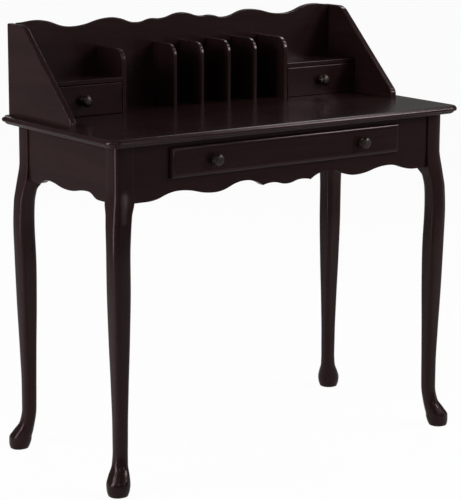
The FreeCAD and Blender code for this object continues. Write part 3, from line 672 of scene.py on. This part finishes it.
for side in SIDES:
    for depth in DEPTHS:
        block = slab(BLOCK, Z, BLOCK_FOOT, UNDERSIDE)
        ease(block, 1.2, 2, lambda p: p.z < UNDERSIDE - 1 and p.x < INNER_X - 0.5 and p.y < INNER_Y - 1)
        flipped(block, side, depth)
        name = corner_name(side, depth)
        piece = shaped("eased_corner_block_" + name, block, plain[X])
        fit(piece, "desk", ["corner_block_" + name])
    runner = slab(RUNNER, Y, -INNER_Y, INNER_Y)
    ease(runner, 1.0, 2, lambda p: abs(p.y) < INNER_Y - 1)
    flipped(runner, side)
    name = SIDES[side]
    fit(shaped("drawer_runner_" + name, runner, plain[Y]), "desk", ["runner_" + name])


# Hutch

def hutch_end(side):
    toe, toe_top, slant_end, back, height = -32.5, 777, 164, 227.5, 962
    outline = rounded([(toe, TOP), (toe, toe_top, 20), (slant_end, height, 40), (back, height), (back, TOP)])
    bm = slab(outline, X, side * HUTCH_INNER, side * HUTCH_OUTER)
    ease(bm, 2.6, 4, lambda p: p.z > TOP + 0.5)
    name = SIDES[side]
    piece = shaped("slanted_hutch_end_" + name, bm, lacquer[Y])
    fit(piece, "desk", ["hutch_side_" + name])


def hutch_crest():
    crest, face, back = 967, 207, 217
    wave = both_halves(scalloped_half(CREST_SCALLOPS, HUTCH_INNER, crest))
    bm = slab([(-HUTCH_INNER, TOP), (HUTCH_INNER, TOP)] + wave[::-1], Y, face, back)
    ease(bm, 2.0, 3, lambda p: p.z > TOP + 1 and abs(p.x) < HUTCH_INNER - 0.5)
    fit(shaped("scalloped_hutch_back", bm, lacquer[X]), "desk", ["hutch_back"])


def upright(name, x, thickness, front):
    """A partition or letter divider, with its front shoulder rounded."""
    height, shoulder, back = 903, 28, 211
    outline = rounded([(front, TOP), (front, height, shoulder), (back, height), (back, TOP)])
    bm = slab(outline, X, x - thickness / 2, x + thickness / 2)
    ease(bm, thickness * 0.19, 4, lambda p: p.z > TOP + 0.5 and p.y < back - 1)
    return shaped(name, bm, lacquer[Z])


PARTITION_X, PARTITION, SHELF_FRONT = 225, 10, 104

for side, name in SIDES.items():
    hutch_end(side)
    partition = upright("hutch_partition_" + name, side * PARTITION_X, PARTITION, SHELF_FRONT)
    fit(partition, "desk", ["partition_" + name])
    shelf = cuboid(*node_box("shelf_right"))
    shelf_start = PARTITION_X + PARTITION / 2
    ease(shelf, 1.2, 3, lambda p: p.y < SHELF_FRONT + 0.5 and shelf_start + 0.5 < p.x < HUTCH_INNER - 0.5)
    flipped(shelf, side)
    fit(shaped("hutch_shelf_" + name, shelf, lacquer[X]), "desk", ["shelf_" + name])
hutch_crest()


# Drawers

def wide_front():
    """The proud drawer front: a thumbnail moulding round a flat field."""
    half, foot, head = 310.5, 665.5, 731.5
    back, face, fillet, round_start = -197.3, -207.3, 0.5, -202.3
    round_width, round_depth = 7.3, 4.3
    rows = [(0.6, back), (0, back - 0.6), (0, -201.9), (fillet, round_start)]
    rows += [
        (fillet + round_width * (1 - math.cos(a)), round_start - round_depth * math.sin(a))
        for a in quarter(7)[1:]
    ]
    rows += [(8.6, -206.7), (9.0, face)]
    bm = bmesh.new()
    rings = []
    for inset, level in rows:
        x, low, high = half - inset, foot + inset, head - inset
        corners = ((-x, low), (x, low), (x, high), (-x, high))
        rings.append([bm.verts.new((u, level, v)) for u, v in corners])
    skin(bm, rings)
    piece = shaped("moulded_drawer_front", bm, lacquer[X], math.radians(25))
    fit(piece, "main_drawer", ["main_drawer_front"])


def small_front(name):
    bm = cuboid(*node_box(name + "_drawer_front"))
    ease(bm, 1.8, 4)
    piece = shaped(name + "_small_drawer_front", bm, lacquer[X])
    fit(piece, name + "_small_drawer", [name + "_drawer_front"])


def box_board(node, body, axis):
    """A board of a drawer box, with its arrises taken off."""
    bm = cuboid(*node_box(node))
    ease(bm, 0.7, 2)
    fit(shaped("eased_" + node, bm, plain[axis]), body, [node])


WIDE_BOX = {"inner_front": X, "back": X, "bottom": X, "side_left": Y, "side_right": Y}
SMALL_BOX = {"back": X, "bottom": X, "side_inner": Y, "side_outer": Y}

wide_front()
for board, axis in WIDE_BOX.items():
    box_board("main_drawer_" + board, "main_drawer", axis)
for name in SIDES.values():
    small_front(name)
    for board, axis in SMALL_BOX.items():
        box_board(f"{name}_drawer_{board}", name + "_small_drawer", axis)


# Repeated pieces. Points of a turned shape that lie closer than the seam, in metres, become one.

SEED = 7
SEAM = 1e-6


class Pattern(Bench):
    """A geometry tree with named inputs, which ends in one mesh."""

    def __init__(self, name, inputs):
        super().__init__(bpy.data.node_groups.new(name, "GeometryNodeTree"))
        face = self.tree.interface
        face.new_socket("Geometry", in_out="OUTPUT", socket_type="NodeSocketGeometry")
        for label, kind in inputs.items():
            face.new_socket(label, in_out="INPUT", socket_type="NodeSocket" + kind)
        self.given = self.tree.nodes.new("NodeGroupInput")

    def size(self, name):
        return Wire(self, self.given.outputs[name])

    def ended(self, copies):
        """Ends the tree: the copies as one mesh, in the finish that is given."""
        whole = self.add("GeometryNodeRealizeInstances", None, {"Geometry": copies})
        whole = {"Geometry": whole, "Material": self.size("Finish")}
        whole = self.add("GeometryNodeSetMaterial", None, whole)
        self.add("NodeGroupOutput", None, {"Geometry": whole})
        return self.tree


class Fastening(Pattern):
    """A tree that sets out one turned shape at each point, along the way that the point carries."""

    def __init__(self, name, sizes):
        lengths = dict.fromkeys(sizes, "Float")
        super().__init__(name, {"Points": "Geometry", **lengths, "Finish": "Material", "Seed": "Int"})

    def sheet_of(self, rows, facets):
        """A flat sheet of points, with how far each is along and round, from 0 to 1."""
        sheet = self.add(
            "GeometryNodeMeshGrid", None,
            {"Size X": 1.0, "Size Y": 1.0, "Vertices X": rows, "Vertices Y": facets + 1}, "Mesh",
        )
        place = self.add("GeometryNodeInputPosition")
        split = self.tree.nodes.new("ShaderNodeSeparateXYZ")
        self.tree.links.new(place.socket, split.inputs[0])
        return sheet, Wire(self, split.outputs[0]) + 0.5, Wire(self, split.outputs[1]) + 0.5

    def wound(self, sheet, around, radius, height):
        """Winds a sheet into a closed turned shape, whose points keep how far they are from its axis."""
        turn = around * math.tau
        sheet = self.add(
            "GeometryNodeStoreNamedAttribute", {"data_type": "FLOAT", "domain": "POINT"},
            {"Geometry": sheet, "Name": "reach", "Value": radius},
        )
        spot = {0: radius * turn.cos(), 1: radius * turn.sin(), 2: height}
        spot = self.add("ShaderNodeCombineXYZ", None, spot)
        shape = self.add("GeometryNodeSetPosition", None, {"Geometry": sheet, "Position": spot})
        shape = self.add("GeometryNodeMergeByDistance", None, {"Geometry": shape, "Distance": SEAM})
        return self.add("GeometryNodeSetShadeSmooth", None, {0: shape})

    def picked(self, row, values):
        """One of several values, by row."""
        return self.add(
            "GeometryNodeIndexSwitch", {"data_type": "FLOAT", "rows": len(values)},
            {"Index": row, **{k + 1: value for k, value in enumerate(values)}},
        )

    def turned(self, profile, facets):
        """A shape turned on its own axis from a profile of radii and heights."""
        sheet, length, around = self.sheet_of(len(profile), facets)
        row = (length * (len(profile) - 1)).whole()
        radius = self.picked(row, [r for r, h in profile])
        height = self.picked(row, [h for r, h in profile])
        return self.wound(sheet, around, radius, height)

    def threaded(self, radius, length, pitch, depth, rows, facets):
        """A rod with a thread along it, drawn in to a blunt tip."""
        sheet, down, around = self.sheet_of(rows, facets)
        ridge = (down * length / pitch + around).bounce(0.5) * 2
        tip = ((1 - down) * 14).least(1.0) * (down > 0.0001)
        return self.wound(sheet, around, (radius - depth + ridge * depth) * tip, -(down * length))

    def set_out(self, shape):
        """Ends the tree with a copy of a shape at each point, turned at random about its own way."""
        way = self.add("GeometryNodeInputNamedAttribute", {"data_type": "FLOAT_VECTOR"}, {"Name": "way"})
        aim = self.add("FunctionNodeAlignRotationToVector", {"axis": "Z"}, {"Vector": way})
        spin = self.add(
            "FunctionNodeRandomValue", {"data_type": "FLOAT"},
            {2: 0.0, 3: math.tau, "Seed": self.size("Seed")}, 1,
        )
        spin = self.add("FunctionNodeAxisAngleToRotation", None, {"Axis": (0, 0, 1), "Angle": spin})
        aim = self.add("FunctionNodeRotateRotation", {"rotation_space": "LOCAL"}, {0: aim, 1: spin})
        copies = self.add(
            "GeometryNodeInstanceOnPoints", None,
            {"Points": self.size("Points"), "Instance": shape, "Rotation": aim},
        )
        return self.ended(copies)


def grown(piece, tree, given):
    """Runs a tree on an object, with its inputs set by identifier, and keeps the plain mesh that it makes."""
    run = piece.modifiers.new(tree.name, "NODES")
    run.node_group = tree
    for socket in tree.interface.items_tree:
        if socket.in_out == "INPUT" and socket.name in given:
            run[socket.identifier] = given[socket.name]
    return as_made(piece)


def repeated(name, tree, spots, finish, sizes, body, nodes, sharp=None):
    """Makes one piece from a tree and a row of points in millimetres, each with the way that it faces."""
    mesh = bpy.data.meshes.new(name)
    mesh.from_pydata([Vector(spot) * MM for spot, way in spots], [], [])
    ways = mesh.attributes.new("way", "FLOAT_VECTOR", "POINT")
    ways.data.foreach_set("vector", [c for spot, way in spots for c in Vector(way).normalized()])
    given = {"Finish": finish, "Seed": SEED, **{size: value * MM for size, value in sizes.items()}}
    piece = grown(place_object(name, mesh), tree, given)
    if sharp:
        piece.data.set_sharp_from_angle(angle=sharp)
    fit(piece, body, nodes)


def screw_tree():
    """A screw with a domed head, a cross recess and a threaded shank."""
    p = Fastening("pan_head_screw", [
        "Head Radius", "Head Height", "Shank Radius", "Shank Length", "Thread Pitch", "Thread Depth",
        "Recess Width",
    ])
    radius, height, recess = p.size("Head Radius"), p.size("Head Height"), p.size("Recess Width")
    dome = [
        (0, 1), (0.3, 0.98), (0.55, 0.91), (0.76, 0.78), (0.9, 0.6), (0.98, 0.36), (1, 0.16), (0.97, 0.03),
        (0.92, 0), (0, 0),
    ]
    head = p.turned([(radius * r, height * h) for r, h in dome], facets=28)
    # One arm of the recess is a hair deeper, so that the two floors never lie in one plane
    arms = []
    for long_way, tall in ((X, 1.3), (Y, 1.32)):
        arm = {X: recess, Y: recess, Z: height * tall}
        arm[long_way] = radius * 1.15
        size = p.add("ShaderNodeCombineXYZ", None, arm)
        bar = p.add("GeometryNodeMeshCube", None, {"Size": size}, "Mesh")
        lift = p.add("ShaderNodeCombineXYZ", None, {2: height * 1.1})
        arms.append(p.add("GeometryNodeTransform", None, {"Geometry": bar, "Translation": lift}))
    cross = p.add("GeometryNodeMeshBoolean", {"operation": "UNION"}, {"Mesh 2": arms})
    head = p.add("GeometryNodeMeshBoolean", {"operation": "DIFFERENCE"}, {"Mesh 1": head, "Mesh 2": cross})
    head = p.add("GeometryNodeMergeByDistance", None, {"Geometry": head, "Distance": 2 * SEAM})
    shank = p.threaded(
        p.size("Shank Radius"), p.size("Shank Length"), p.size("Thread Pitch"), p.size("Thread Depth"),
        rows=70, facets=14,
    )
    return p.set_out(p.add("GeometryNodeJoinGeometry", None, {"Geometry": [head, shank]}))


def bolt_tree():
    """A threaded rod."""
    p = Fastening("hanger_bolt", ["Shank Radius", "Shank Length", "Thread Pitch", "Thread Depth"])
    return p.set_out(p.threaded(
        p.size("Shank Radius"), p.size("Shank Length"), p.size("Thread Pitch"), p.size("Thread Depth"),
        rows=260, facets=18,
    ))


def nut_tree():
    """A six-sided nut with its corners turned off and a bore through it."""
    sides, facets = 6, 72
    p = Fastening("hexagon_nut", ["Corner Radius", "Height", "Bore Radius"])
    corner, height, bore = p.size("Corner Radius"), p.size("Height"), p.size("Bore Radius")
    profile = [
        (bore, 0.06), (bore, 0.94), (bore * 1.12, 1), (corner * 0.84, 1), (corner * 0.88, 0.98),
        (corner, 0.86), (corner, 0.14), (corner * 0.88, 0.02), (corner * 0.84, 0), (bore * 1.12, 0),
        (bore, 0.06),
    ]
    sheet, length, around = p.sheet_of(len(profile), facets)
    row = (length * (len(profile) - 1)).whole()
    radius = p.picked(row, [r for r, h in profile])
    level = p.picked(row, [height * h for r, h in profile])
    swing = (around * sides).part() - 0.5
    flat = corner * math.cos(math.pi / sides) / (swing * (math.tau / sides)).cos()
    return p.set_out(p.wound(sheet, around, radius.least(flat), level))


def pad_tree():
    """A round pad with softened edges."""
    p = Fastening("foot_pad", ["Radius", "Height"])
    radius, height = p.size("Radius"), p.size("Height")
    profile = [
        (0, 1), (0.6, 1), (0.93, 0.99), (0.98, 0.86), (1, 0.6), (0.995, 0.3), (0.97, 0.08), (0.93, 0), (0, 0),
    ]
    return p.set_out(p.turned([(radius * r, height * h) for r, h in profile], facets=40))


def knob_tree():
    """A turned knob: a beaded base, a waisted neck and a mushroom head."""
    sizes = ["Base Radius", "Neck Radius", "Head Radius", "Length"]
    p = Fastening("turned_knob", sizes)
    base, neck, head, length = (p.size(name) for name in sizes)
    crown = [
        (0, 1), (0.18, 0.999), (0.38, 0.99), (0.58, 0.966), (0.75, 0.925), (0.87, 0.87), (0.95, 0.8),
        (0.99, 0.73), (1, 0.66), (0.965, 0.58), (0.88, 0.505), (0.74, 0.44), (0.58, 0.395),
    ]
    waist = [(1.14, 0.35), (1.03, 0.3), (1, 0.245), (1.04, 0.19), (1.16, 0.15)]
    bead = [
        (0.78, 0.122), (0.83, 0.115), (0.88, 0.1), (0.97, 0.085), (1, 0.06), (1, 0.02), (0.96, 0), (0, 0),
    ]
    profile = [
        (radius * r, length * h)
        for radius, rows in ((head, crown), (neck, waist), (base, bead)) for r, h in rows
    ]
    return p.set_out(p.turned(profile, facets=48))


def slat_tree():
    """Copies of one board, a pitch apart."""
    p = Pattern("letter_slats", {"Board": "Geometry", "Pitch": "Float", "Count": "Int", "Finish": "Material"})
    step = p.add("ShaderNodeCombineXYZ", None, {0: p.size("Pitch")})
    row = {"Count": p.size("Count"), "Start Location": (0, 0, 0), "Offset": step}
    row = p.add("GeometryNodeMeshLine", None, row)
    return p.ended(p.add("GeometryNodeInstanceOnPoints", None, {"Points": row, "Instance": p.size("Board")}))


def letter_dividers():
    """Four dividers from one board."""
    pitch, thickness, front, count = 75, 8, 122, 4
    piece = upright("letter_dividers", -pitch, thickness, front)
    grown(piece, slat_tree(), {"Pitch": pitch * MM, "Count": count, "Finish": lacquer[Z]})
    fit(piece, "desk", [f"letter_divider_{k + 1}" for k in range(count)])


letter_dividers()

screw, knob = screw_tree(), knob_tree()
SCREW = {
    "Head Radius": 3.8, "Head Height": 2.4, "Shank Radius": 2, "Thread Pitch": 1.6, "Thread Depth": 0.45,
    "Recess Width": 0.9,
}
KNOB = {"Base Radius": 9, "Neck Radius": 5.5, "Head Radius": 13, "Length": 21.5}

# Fastenings of the frame, in each of its corners

BOLT_LEVEL = 724
repeated(
    "screws_into_desktop", screw, [((407.86 * x, 125.77 * y, BLOCK_FOOT), (0, 0, -1)) for x, y in CORNERS],
    zinc, {**SCREW, "Shank Length": 51}, "desk", ["top_screws"], ARRIS,
)
repeated(
    "corner_hanger_bolts", bolt_tree(),
    [((371.8 * x, 129.3 * y, BOLT_LEVEL), (-x, -y, 0)) for x, y in CORNERS],
    zinc, {"Shank Radius": 3, "Shank Length": 67, "Thread Pitch": 1.25, "Thread Depth": 0.5},
    "desk", ["corner_bolts"],
)
repeated(
    "corner_hexagon_nuts", nut_tree(),
    [((376.75 * x, 134.25 * y, BOLT_LEVEL), (x, y, 0)) for x, y in CORNERS],
    zinc, {"Corner Radius": 5.8, "Height": 5, "Bore Radius": 2.95},
    "desk", ["corner_nuts"], ARRIS,
)
repeated(
    "felt_foot_pads", pad_tree(), [((449.4 * x, 206.9 * y, 0), (0, 0, 1)) for x, y in CORNERS],
    felt, {"Radius": 12, "Height": 2}, "desk", ["foot_pads"],
)

# Screws and knobs of the drawers, screwed on from inside

KNOB_X, KNOB_LEVEL, WIDE_FACE, WIDE_INSIDE = 201, 698.5, -207.3, -187.3
SMALL_KNOB_X, SMALL_KNOB_LEVEL, SMALL_FACE, SMALL_INSIDE = 332, 797, 104, 116
repeated(
    "drawer_front_screws", screw, [((238.5 * side, WIDE_INSIDE, KNOB_LEVEL), (0, 1, 0)) for side in SIDES],
    zinc, {**SCREW, "Shank Length": 17}, "main_drawer", ["main_front_screws"], ARRIS,
)
repeated(
    "drawer_knob_screws", screw, [((KNOB_X * side, WIDE_INSIDE, KNOB_LEVEL), (0, 1, 0)) for side in SIDES],
    zinc, {**SCREW, "Shank Length": 28}, "main_drawer", ["main_knob_screws"], ARRIS,
)
repeated(
    "drawer_knobs", knob, [((KNOB_X * side, WIDE_FACE, KNOB_LEVEL), (0, -1, 0)) for side in SIDES],
    bronze, KNOB, "main_drawer", ["main_knob_left", "main_knob_right"],
)
for side, name in SIDES.items():
    repeated(
        name + "_small_drawer_screw", screw,
        [((SMALL_KNOB_X * side, SMALL_INSIDE, SMALL_KNOB_LEVEL), (0, 1, 0))],
        zinc, {**SCREW, "Shank Length": 20},
        name + "_small_drawer", [name + "_drawer_knob_screw"], ARRIS,
    )
    repeated(
        name + "_small_drawer_knob", knob,
        [((SMALL_KNOB_X * side, SMALL_FACE, SMALL_KNOB_LEVEL), (0, -1, 0))],
        bronze, KNOB, name + "_small_drawer", [name + "_drawer_knob"],
    )

# Dowels stay as they are in the frame

for node, axis in (("hutch_dowels", Z), ("runner_dowels", Y)):
    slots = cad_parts[node].data.materials
    slots.clear()
    slots.append(plain[axis])


# Floor, light and camera

# How white the floor is to the camera, with the rest left to its shadows, and in glossy reflections

WHITE, GLOSSY_WHITE = 0.96, 0.14
FLOOR_REACH = 60
ROOM_GREY = 0.155


def studio_floor():
    """A wide white floor that keeps the desk's soft shadow."""
    f = Finish("studio_floor")
    cloud = f.noise(f.stretched((3, 3, 3)), detail=2)
    paper = f.mix(cloud, (0.70, 0.70, 0.70), (0.74, 0.74, 0.74))
    lit = f.add("ShaderNodeBsdfPrincipled", None, {"Base Color": paper, "Roughness": 0.8})
    white = f.add("ShaderNodeEmission", None, {"Color": (1, 1, 1, 1), "Strength": 1.0})
    rays = f.tree.nodes.new("ShaderNodeLightPath")
    camera, glossy, through = (
        Wire(f, rays.outputs[name]) for name in ("Is Camera Ray", "Is Glossy Ray", "Is Transmission Ray")
    )
    share = camera.most(through).most(glossy * GLOSSY_WHITE) * WHITE
    both = f.add("ShaderNodeMixShader", None, {0: share, 1: lit, 2: white})
    f.add("ShaderNodeOutputMaterial", None, {"Surface": both})
    mesh = bpy.data.meshes.new("studio_floor")
    corners = [(x * FLOOR_REACH, y * FLOOR_REACH, 0) for x, y in ((-1, -1), (1, -1), (1, 1), (-1, 1))]
    mesh.from_pydata(corners, [], [(0, 1, 2, 3)])
    mesh.materials.append(f.material)
    place_object("studio_floor", mesh)


def softbox(name, spot, aim, width, height, power):
    """A lamp at a spot, facing a point, with its width and height in metres and its power in watts."""
    lamp = bpy.data.lights.new(name, "AREA")
    lamp.shape = "RECTANGLE"
    lamp.size, lamp.size_y, lamp.energy = width, height, power
    box = bpy.data.objects.new(name, lamp)
    box.location = spot
    box.rotation_euler = (Vector(aim) - Vector(spot)).to_track_quat("-Z", "Y").to_euler()
    box.visible_camera = False
    bpy.context.scene.collection.objects.link(box)


def studio_camera():
    """The camera in front of the desk's left corner."""
    spot = Vector((-2.63604, -3.61682, 1.38947))
    yaw, pitch, roll = math.radians(35.996), math.radians(11.96), math.radians(0.2385)
    back = Vector((-math.sin(yaw) * math.cos(pitch), -math.cos(yaw) * math.cos(pitch), math.sin(pitch)))
    right = Vector((math.cos(yaw), -math.sin(yaw), 0))
    up = back.cross(right)
    right, up = (
        right * math.cos(roll) + up * math.sin(roll),
        up * math.cos(roll) - right * math.sin(roll),
    )
    view = bpy.data.cameras.new("studio_camera")
    view.lens, view.sensor_width = 144.79, 36
    camera = bpy.data.objects.new("studio_camera", view)
    turn = Matrix((right, up, back)).transposed().to_4x4()
    camera.matrix_world = Matrix.Translation(spot) @ turn
    bpy.context.scene.collection.objects.link(camera)
    bpy.context.scene.camera = camera


studio_floor()
studio_camera()
softbox("key_softbox", (1.67, -1.7, 1.85), (0.1, -0.1, 0.78), 0.45, 0.9, 36)
softbox("front_softbox", (0.86, -2.45, 1.15), (-0.1, 0, 0.7), 0.22, 0.8, 4)
softbox("front_left_softbox", (-1.6, -2.2, 2.2), (0, 0.1, 0.8), 0.9, 0.9, 7)
softbox("left_softbox", (-2.4, 0.05, 1.4), (0, 0, 0.8), 0.9, 1.1, 40)
softbox("left_low_softbox", (-2.3, 0.3, 0.45), (0, 0, 0.6), 0.8, 0.6, 11)
softbox("left_high_softbox", (-2.2, -0.4, 2.3), (0, 0.1, 0.8), 0.8, 0.8, 7)
softbox("front_overhead_softbox", (1.5, -0.6, 2.45), (0.1, 0, 0.85), 0.55, 0.7, 11)
softbox("overhead_softbox", (1.6, 1.0, 2.5), (0.1, 0.1, 0.8), 0.7, 0.6, 9)
softbox("right_softbox", (2.2, -1.3, 0.8), (0, -0.1, 0.6), 0.4, 1.6, 4)
softbox("back_softbox", (0.3, 3.0, 1.3), (0, 0.2, 0.6), 1.2, 0.9, 14)
room = bpy.data.worlds.new("studio_room")
room.use_nodes = True
room.node_tree.nodes["Background"].inputs["Color"].default_value = (ROOM_GREY, ROOM_GREY, ROOM_GREY, 1)
bpy.context.scene.world = room
bpy.context.scene.view_settings.view_transform = "Standard"
